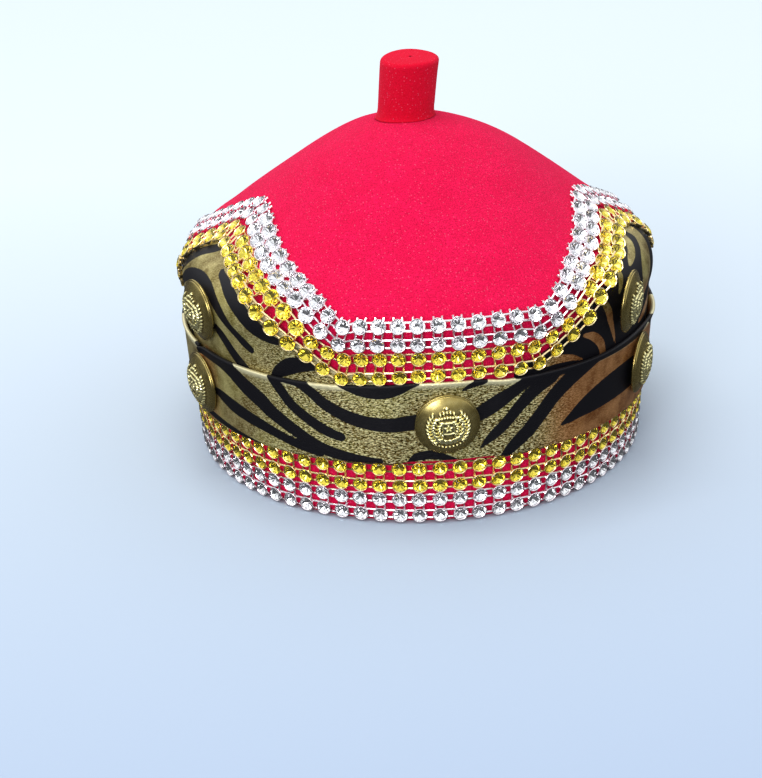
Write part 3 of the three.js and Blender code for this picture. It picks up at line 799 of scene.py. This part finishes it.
def travelled(points):
    """Distances along a closed line, at each of its points and back at its first."""
    steps = np.linalg.norm(np.roll(points, -1, axis=0) - points, axis=1)
    return np.concatenate([[0], np.cumsum(steps)])


def points_along(line, at):
    """What a closed line holds at distances along it: its points, and their directions and scales."""
    reached = travelled(line["points"])
    at = np.mod(at, reached[-1])
    wrapped = {k: np.concatenate([v, v[:1]]) for k, v in line.items()}
    return {
        k: np.stack([np.interp(at, reached, v[:, c]) for c in range(v.shape[1])], -1)
        for k, v in wrapped.items()
    }


def lay_trim(name, kind, rows, pitch, prongs, tilt, seed):
    """Lays stones on two closed lines on the felt and links them; the second line is the outer row."""
    rng = np.random.default_rng(seed)
    middle = (rows[0]["points"] + rows[1]["points"]) / 2
    reached = travelled(middle)
    stones_so_far = np.concatenate([[0], np.cumsum(np.diff(reached) * 1000 / pitch)])
    count = int(round(stones_so_far[-1]))
    stations = np.interp((np.arange(count) + 0.5) / count * stones_so_far[-1], stones_so_far, reached)
    stations = stations + ROLL_STRAY / 1000 * rng.standard_normal(count)
    whole = {"points": middle}
    here = points_along(whole, stations)["points"]
    ahead, behind = (points_along(whole, stations + step)["points"] for step in (0.002, -0.002))
    tangent_here = unit(ahead - behind)
    placed = []
    for row in rows:
        points = row["points"]
        row_reached = travelled(points)
        total = row_reached[-1]
        found = []
        for p, t in zip(here, tangent_here):
            gap = points - p
            off = np.abs(gap @ t) + 0.25 * np.linalg.norm(gap, axis=1)
            found.append(row_reached[off.argmin()])
        found = np.array(found)
        shift = 0 if found[0] < total / 2 else total
        found = np.unwrap((found - shift) * 2 * np.pi / total) * total / 2 / np.pi
        for _ in range(10):
            before = np.append(found[-1] - total, found[:-1])
            after = np.append(found[1:], found[0] + total)
            found = found + (before + after - 2 * found) / 4
        for _ in range(60):
            gaps = np.diff(np.append(found, found[0] + total))
            push = np.maximum(CLOSEST / 1000 - gaps, 0) / 2
            found = found - push + np.roll(push, 1)
        placed.append(points_along(row, found + ROW_STRAY / 1000 * rng.standard_normal(count)))
    clouds = {k: [] for k in ("co", "forward", "outward", "kind", "length")}

    def put(co, forward, outward, kind_number, length):
        for key, item in zip(clouds, (co, forward, outward)):
            clouds[key].append(item)
        clouds["kind"].append(np.full(len(co), kind_number))
        clouds["length"].append(np.broadcast_to(length, len(co)))

    across = unit(placed[1]["points"] - placed[0]["points"])
    for row in placed:
        row["forward"] = unit(np.roll(row["points"], -1, axis=0) - np.roll(row["points"], 1, axis=0))
        put(row["points"], row["forward"], unit(row["outward"]), 0, row["scale"][:, 0])
    low = LINK_LOW / 1000
    for row in placed:
        here, there = row["points"], np.roll(row["points"], -1, axis=0)
        side_here = unit(np.cross(unit(row["outward"]), row["forward"]))
        side_there = np.roll(side_here, -1, axis=0)
        out = unit(row["outward"])
        for side in (-LINK_SIDE, LINK_SIDE):
            a = here + side_here * side / 1000 + row["forward"] * CUP_SIDE / 1000
            b = there + side_there * side / 1000 - np.roll(row["forward"], -1, axis=0) * CUP_SIDE / 1000
            length = np.linalg.norm(b - a, axis=1)
            keep = (length > SHORTEST / 1000) & (((b - a) * row["forward"]).sum(1) > 0)
            put(((a + b) / 2 + out * low)[keep], unit(b - a)[keep], out[keep], 1, length[keep] * 1000)
    inner, outer = placed
    for side in (-LINK_SIDE, LINK_SIDE):
        a = inner["points"] + inner["forward"] * side / 1000 + across * CUP_SIDE / 1000
        b = outer["points"] + outer["forward"] * side / 1000 - across * CUP_SIDE / 1000
        out = unit(inner["outward"] + outer["outward"])
        length = np.linalg.norm(b - a, axis=1)
        put((a + b) / 2 + out * low, unit(b - a), out, 1, length * 1000)
        for end, sign in ((outer, 1), (inner, -1)):
            if prongs[0 if sign < 0 else 1]:
                base = end["points"] + end["forward"] * side / 1000 + sign * across * STUB_START / 1000
                put(base + unit(end["outward"]) * low, across * sign, unit(end["outward"]), 1,
                    np.full(count, STUB_LENGTH))
    host = bpy.data.meshes.new(name)
    host.from_pydata(np.concatenate(clouds["co"]).tolist(), [], [])
    for key, data_type, field in (
        ("forward", "FLOAT_VECTOR", "vector"), ("outward", "FLOAT_VECTOR", "vector"),
        ("kind", "INT", "value"), ("length", "FLOAT", "value"),
    ):
        values = np.concatenate(clouds[key])
        host.attributes.new(key, data_type, "POINT").data.foreach_set(field, values.ravel())
    carrier = bpy.data.objects.new(name + " points", host)
    bpy.context.scene.collection.objects.link(carrier)
    modifier = carrier.modifiers.new("net", "NODES")
    modifier.node_group = net_tree
    sockets = {item.name: item.identifier for item in net_tree.interface.items_tree if item.in_out == "INPUT"}
    settings = (stone_source, cup_source, link_source, tilt, seed, *stone_finishes[kind])
    for socket_name, setting in zip(NET_INPUTS, settings):
        modifier[sockets[socket_name]] = setting
    bpy.context.view_layer.update()
    evaluated = carrier.evaluated_get(bpy.context.evaluated_depsgraph_get())
    mesh = bpy.data.meshes.new_from_object(evaluated)
    bpy.data.objects.remove(carrier)
    mesh.name = name
    trim = bpy.data.objects.new(name, mesh)
    bpy.context.scene.collection.objects.link(trim)
    return trim


def felt_line(degrees, rise, rest, scale=1.0):
    """A closed line on the felt for a row of stones, with the stones' scale along it."""
    points = on_felt(degrees, rise, rest)
    outward = unit(on_felt(degrees, rise, rest + 1) - points)
    return {"points": points, "outward": outward,
            "scale": np.full((len(points), 1), 1.0) * np.reshape(scale, (-1, 1))}


NET_REST = 0.1
around = np.arange(2400) * 360 / 2400
for name, kind, row_rises, seed in (("silver_trim_lower", "clear", (3.45, 10.3), 11),
                                    ("gold_trim_lower", "yellow", (16.3, 23.6), 12)):
    rows = [felt_line(around, np.full(around.shape, rise), NET_REST) for rise in row_rises]
    trim = lay_trim(name + "_stones", kind, rows, LOWER_PITCH, (False, False), 0.12, seed)
    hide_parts(name)
    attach(trim, "root")


# Upper trims
# The same net in gold and silver, side by side above the band: level round the front and back, and
# up over each flap's edge to its tip, where the stiff net leans forward instead of lying flat. The
# outer links of the silver are snipped, and stand as stubs.
def upper_line(over):
    """A closed line at a distance over the flaps' edge line, resting on leather where there is any."""
    degrees = np.mod(around + 180, 360) - 180
    on_leather = 1 - smoothstep((over - 4.7) / 4)
    on_arm = smoothstep((np.abs(degrees) - 26) / 12) * smoothstep((76 - np.abs(degrees)) / 10)
    # The gold's two rows close up on the arms, most on the right, and rise where the arms begin
    gold = over < 13
    squeeze = np.where(degrees > 0, 0.35, 0.1) * on_arm * gold
    rise = edge_rise(degrees, over + squeeze * (6.9 - over))
    rise = rise + gold * 1.1 * np.exp(-(((np.abs(degrees) - 39) / 7) ** 2))
    rest = (
        NET_REST
        + on_leather * over_flap(degrees) * (LEATHER + GAP)
        + (1 + on_arm) * slack(degrees) * bridge(rise)
    )
    line = felt_line(degrees, rise, rest, 1 + 0.14 * on_arm)
    line["outward"] = unit(line["outward"] + 0.4 * on_arm[:, None] * (0, -1, 0))
    return line


# The roll was stretched up the arms and crowded at the corners: the distance in mm between stones
# at angles from the front.
UPPER_PITCH = (
    (-180, 7.8), (-72, 7.8), (-60, 9.2), (-48, 10.0), (-40, 9.3), (-34, 8.3), (-28, 7.4), (-18, 7.0),
    (-12, 7.3), (-7, 8.1), (6, 8.2), (16, 7.8), (26, 8.0), (34, 9.4), (42, 10.6), (64, 10.6), (75, 9.0),
    (84, 7.8), (180, 7.8),
)
upper_pitch = np.interp(np.mod(around + 180, 360) - 180, *np.array(UPPER_PITCH).T)
for name, kind, row_overs, seed in (("gold_trim_upper", "yellow", (2.6, 10.1), 13),
                                    ("silver_trim_upper", "clear", (16.8, 23.2), 14)):
    rows = [upper_line(over) for over in row_overs]
    trim = lay_trim(name + "_stones", kind, rows, upper_pitch, (False, kind == "clear"), 0.16, seed)
    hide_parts(name)
    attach(trim, "root")
for source in (stone_source, cup_source, link_source):
    bpy.data.objects.remove(source)


# Buttons
# Blazer buttons, stamped from thin brass: a dome with a plain border rolled over a back plate. The
# middle carries a raised shield between leaf sprays, under a coronet of beads and over a ribbon.
WALL_SEAT = 74.0
# The dome's foot and its rise, how far the ornament stands out, and the gap under a button
DOME_FOOT = 1.35
DOME_RISE = 3.3
STAMPED = 1.3
SEAT_GAP = 0.3
# Each button's angle from the front, height up the felt, spin, turn round the cap and lift
BUTTONS = (
    ("band_button_front", -0.5, 43.5, 4, 0, 0),
    ("band_button_front_right", 59.2, 45.8, -6, 7, 0),
    ("band_button_back_right", 120.0, 42.0, 3, 0, 0),
    ("band_button_back", 180.0, 42.0, -4, 0, 0),
    ("band_button_back_left", -128.0, 42.0, 8, 0, 0),
    ("band_button_front_left", -70.5, 43.5, -5, 0, 0),
    ("flap_button_right", 49.4, 79.2, 7, 16, 1.6),
    ("flap_button_left", -68.5, 77.5, -8, 0, 0),
)


def bump(x, y, cx, cy, long, wide, degrees, high):
    """A rounded ellipse of relief at a place, turned by an angle."""
    c, s = math.cos(math.radians(degrees)), math.sin(math.radians(degrees))
    u = ((x - cx) * c + (y - cy) * s) / long
    v = (-(x - cx) * s + (y - cy) * c) / wide
    return high * np.sqrt(np.clip(1 - u * u - v * v, 0, 1))


def button_relief(x, y):
    """Height of the stamped ornament in mm over the dome."""
    shield = np.maximum(np.abs(x) / 2.9, np.abs(y - 0.1) / 3.1 + 0.2 * (x / 2.9) ** 2 * (y < 0))
    high = 0.55 * np.clip((1 - shield) * 6, 0, 1) - 0.3 * np.clip((0.76 - shield) * 8, 0, 1)
    for k in range(5):
        a = 90 + 72 * k
        cx, cy = 1.05 * math.cos(math.radians(a)), 0.1 + 1.05 * math.sin(math.radians(a))
        high = np.maximum(high, bump(x, y, cx, cy, 0.9, 0.5, a, 0.65))
    for k in range(7):
        t = (k - 3) / 3
        high = np.maximum(high, bump(x, y, 3.4 * t, 4.3 + 0.6 * (1 - t * t), 0.56, 0.5, 0, 0.7))
    for k in range(5):
        t = (k - 2) / 2
        high = np.maximum(high, bump(x, y, 2.7 * t, 6.1 + 0.8 * (1 - t * t), 0.46, 0.85, 0, 0.7))
    high = np.maximum(high, bump(x, y, 0, 8.4, 0.75, 0.75, 0, 0.7))
    for hand in (-1, 1):
        for reach, count, first, last in ((4.7, 6, -50, 52), (7.3, 9, -46, 44)):
            for k in range(count):
                a = first + (last - first) * k / (count - 1)
                for lean_by, far in ((52, 0.85), (128, -0.85)):
                    d = a + lean_by if hand > 0 else 180 - a - lean_by
                    ox = hand * (reach + far) * math.cos(math.radians(a))
                    oy = -0.2 + (reach + far) * math.sin(math.radians(a))
                    high = np.maximum(high, bump(x, y, ox, oy, 1.25, 0.52, d, 0.75))
    arc = np.hypot(x, y - 2.0)
    on_ribbon = (np.abs(arc - 8.1) < 1.0) & (y < -3.2) & (np.abs(x) < 5.6)
    high = np.maximum(high, np.where(on_ribbon, 0.5 + 0.16 * np.sin(x * 3.4), 0))
    for k in range(11):
        a = math.radians(-132 + 84 * k / 10)
        high = np.maximum(high, bump(x, y, 10.0 * math.cos(a), 1.2 + 10.0 * math.sin(a), 0.55, 0.45, 0, 0.6))
    return high


sides, rings = 168, 64
button_section = [(0.0, 0.0), (6.0, 0.0), (12.2, 0.0), (12.75, 0.15), (13.0, 0.55), (12.95, 0.95),
                  (12.7, 1.15), (12.45, 1.1), (12.35, 1.3)]
for r in np.linspace(12.3, 0.0, rings):
    button_section.append((r, DOME_FOOT + DOME_RISE * (1 - (r / 12.5) ** 2) ** 0.9))
button_section = np.array(button_section)
turned = np.arange(sides) * 2 * math.pi / sides
bx = button_section[1:-1, 0][None] * np.cos(turned)[:, None]
by = button_section[1:-1, 0][None] * np.sin(turned)[:, None]
bz = np.repeat(button_section[1:-1, 1][None], sides, axis=0)
relief = button_relief(bx, by) * smoothstep((9.7 - np.hypot(bx, by)) / 0.4) * (bz > DOME_FOOT)
# Painted shade: the ground close beside the ornament is marked to be painted darker.
steps_off = [(0.55 * math.cos(a), 0.55 * math.sin(a)) for a in np.radians(np.arange(0, 360, 45))]
beside = np.mean([button_relief(bx + dx, by + dy) for dx, dy in steps_off], axis=0)
beside = beside * (relief < 0.3) * (bz > DOME_FOOT)
button_points = np.stack([bx, by, bz + STAMPED * relief], -1).reshape(-1, 3)
centre_relief = float(button_relief(np.zeros(1), np.zeros(1))[0])
top = DOME_FOOT + DOME_RISE + STAMPED * centre_relief
button_points = np.concatenate([button_points, [[0, 0, 0], [0, 0, top]]])
per = len(button_section) - 2
button_faces = []
for i in range(sides):
    j = (i + 1) % sides
    for k in range(per - 1):
        button_faces.append((i * per + k, j * per + k, j * per + k + 1, i * per + k + 1))
    button_faces.append((j * per, i * per, sides * per))
    button_faces.append((i * per + per - 1, j * per + per - 1, sides * per + 1))
relief_values = np.concatenate([relief.ravel(), [0.0, centre_relief]])
# Painted shade towards the dome's rim, added to the painted shade beside the ornament.
rim_shade = 0.45 * smoothstep((np.hypot(bx, by) - 8.5) / 4)
recess_shade_values = np.concatenate([np.clip(beside * 4 + rim_shade, 0, 1).ravel(), [0.0, 0.0]])

# Lacquered brass: stamped, a pale soft yellow. The high places of the ornament are painted paler as
# painted highlight, and the ground beside them and the dome towards its rim are painted browner as
# painted shade.
brass, tree = new_material("brass, lacquered")
place = add(tree, "ShaderNodeTexCoord").outputs["Object"]
height = add(tree, "ShaderNodeAttribute", attribute_name="relief").outputs["Fac"]
patina_noise = add(tree, "ShaderNodeTexNoise", {"Vector": place, "Scale": 420.0, "Detail": 4.0})
patina = add(tree, "ShaderNodeMapRange", {"Value": patina_noise, "From Min": 0.3, "From Max": 0.7})
plain_brass = add(tree, "ShaderNodeMix", {0: patina, 6: "#C2AE66", 7: "#D8C680"}, data_type="RGBA")
# Painted highlight: the raised ornament is painted paler.
relief_highlight = add(tree, "ShaderNodeMapRange", {"Value": height, "From Min": 0.1, "From Max": 0.5})
# Painted shade beside the ornament and towards the dome's rim.
recess_shade = add(tree, "ShaderNodeAttribute", attribute_name="recess_shade").outputs["Fac"]
shaded_recess = add(tree, "ShaderNodeMix", {0: recess_shade, 6: plain_brass, 7: "#5E4C20"}, data_type="RGBA")
brass_colour = add(tree, "ShaderNodeMix", {0: relief_highlight, 6: shaded_recess, 7: "#FFF8B8"}, data_type="RGBA")
brass_rough = add(tree, "ShaderNodeMapRange", {"Value": patina_noise, "To Min": 0.18, "To Max": 0.34})
brass_bump = add(tree, "ShaderNodeBump", {"Strength": 0.15, "Distance": 0.0002, "Height": patina_noise})
surface(tree,
        {"Base Color": brass_colour, "Metallic": 0.95, "Roughness": brass_rough, "Normal": brass_bump})
for name, degrees, rise, spun, turned_by, lift in BUTTONS:
    on_band = rise < BAND["high"]
    if on_band:
        under = GAP + float(over_flap(degrees)) * (LEATHER + GAP) + BAND["thick"]
    else:
        under = GAP + LEATHER + BRIDGE * float(bridge(rise))
    seat = min(rise, WALL_SEAT)
    outward = on_felt(degrees + turned_by, seat, 1.0) - on_felt(degrees + turned_by, seat, 0.0)
    outward = Vector(outward).normalized()
    across = Vector((0, 0, 1)).cross(outward).normalized()
    upward = outward.cross(across)
    turn_to = Matrix((across, upward, outward)).transposed() @ Matrix.Rotation(math.radians(spun), 3, "Z")
    origin = np.array(on_felt(degrees, rise, under)) + np.array(outward) * (SEAT_GAP + lift) / 1000
    placed = (np.array(turn_to) @ (button_points / 1000).T).T + origin
    button = make_piece("brass_" + name, placed, button_faces, brass)
    give(button, "relief", relief_values)
    give(button, "recess_shade", recess_shade_values)
    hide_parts(name)
    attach(button, "root")


# Studio
# A pale floor under the rim, painted darker and bluer towards the front as painted shade, a bright
# soft sky, and a large soft light from the upper left and another from above.
floor_paint, tree = new_material("paper backdrop")
place = add(tree, "ShaderNodeTexCoord").outputs["Object"]
# Painted shade: the floor is painted darker and bluer towards the front.
back = add(tree, "ShaderNodeSeparateXYZ", {0: place}).outputs[1]
front_shade = add(tree, "ShaderNodeMapRange", {"Value": back, "From Min": -0.45, "From Max": 0.35})
floor_colour = add(tree, "ShaderNodeMix", {0: front_shade, 6: "#92A4BE", 7: "#C9D4DB"}, data_type="RGBA")
surface(tree, {"Base Color": floor_colour, "Roughness": 0.9})
FLOOR_REACH = 6.0
FLOOR_LOW = 0.0002
floor_points = np.array([(-1, -1, 0), (1, -1, 0), (1, 1, 0), (-1, 1, 0)]) * FLOOR_REACH - (0, 0, FLOOR_LOW)
floor = make_piece("floor", floor_points, [(0, 1, 2, 3)], floor_paint, smooth=False)
floor.visible_glossy = False
floor.visible_transmission = False

world = bpy.data.worlds.new("soft sky")
bpy.context.scene.world = world
world.use_nodes = True
tree = world.node_tree
tree.nodes.clear()
looked = add(tree, "ShaderNodeTexCoord").outputs["Generated"]
height_seen = add(tree, "ShaderNodeSeparateXYZ", {0: looked}).outputs[2]
height_share = add(tree, "ShaderNodeMapRange", {"Value": height_seen, "From Min": -1.0, "From Max": 1.0})
sky = add(tree, "ShaderNodeValToRGB", {0: height_share})
stops = sky.color_ramp.elements
stops[0].position, stops[0].color = 0.44, (0.08, 0.082, 0.09, 1)
stops[1].position, stops[1].color = 1.0, (0.8, 0.82, 0.86, 1)
for position, shade in ((0.53, 0.2), (0.6, 0.55), (0.69, 1.15)):
    stop = stops.new(position)
    stop.color = (shade, shade * 1.02, shade * 1.05, 1)
lit = add(tree, "ShaderNodeBackground", {"Color": sky, "Strength": 1.0})
seen = add(tree, "ShaderNodeBackground", {"Color": "#E9F4FC", "Strength": 1.0})
which = add(tree, "ShaderNodeLightPath").outputs["Is Camera Ray"]
mixed = add(tree, "ShaderNodeMixShader", {0: which, 1: lit, 2: seen})
add(tree, "ShaderNodeOutputWorld", {"Surface": mixed})

for name, place, size, power in (("window", (-1.4, -3.2, 1.3), 1.2, 54),
                                 ("top", (-0.4, -0.2, 3.2), 2.0, 60)):
    lamp = bpy.data.lights.new(name, "AREA")
    lamp.size = size
    lamp.energy = power
    light = bpy.data.objects.new(name, lamp)
    light.location = place
    light.rotation_mode = "QUATERNION"
    light.rotation_quaternion = (Vector((0, 0, 0.07)) - Vector(place)).to_track_quat("-Z", "Y")
    bpy.context.scene.collection.objects.link(light)

bpy.context.scene.view_settings.view_transform = "Standard"

# The camera stands a little to the left of the front, looks down on the cap, and is turned slightly.
camera_data = bpy.data.cameras.new("camera")
camera_data.lens = 115.5
camera = bpy.data.objects.new("camera", camera_data)
camera.location = (-0.1121, -0.9836, 0.465)
camera.rotation_mode = "QUATERNION"
aim = Vector((-0.0167, 0, 0.0161)) - camera.location
roll = Matrix.Rotation(math.radians(-1.873), 3, "Z").to_quaternion()
camera.rotation_quaternion = aim.to_track_quat("-Z", "Y") @ roll
bpy.context.scene.collection.objects.link(camera)
bpy.context.scene.camera = camera
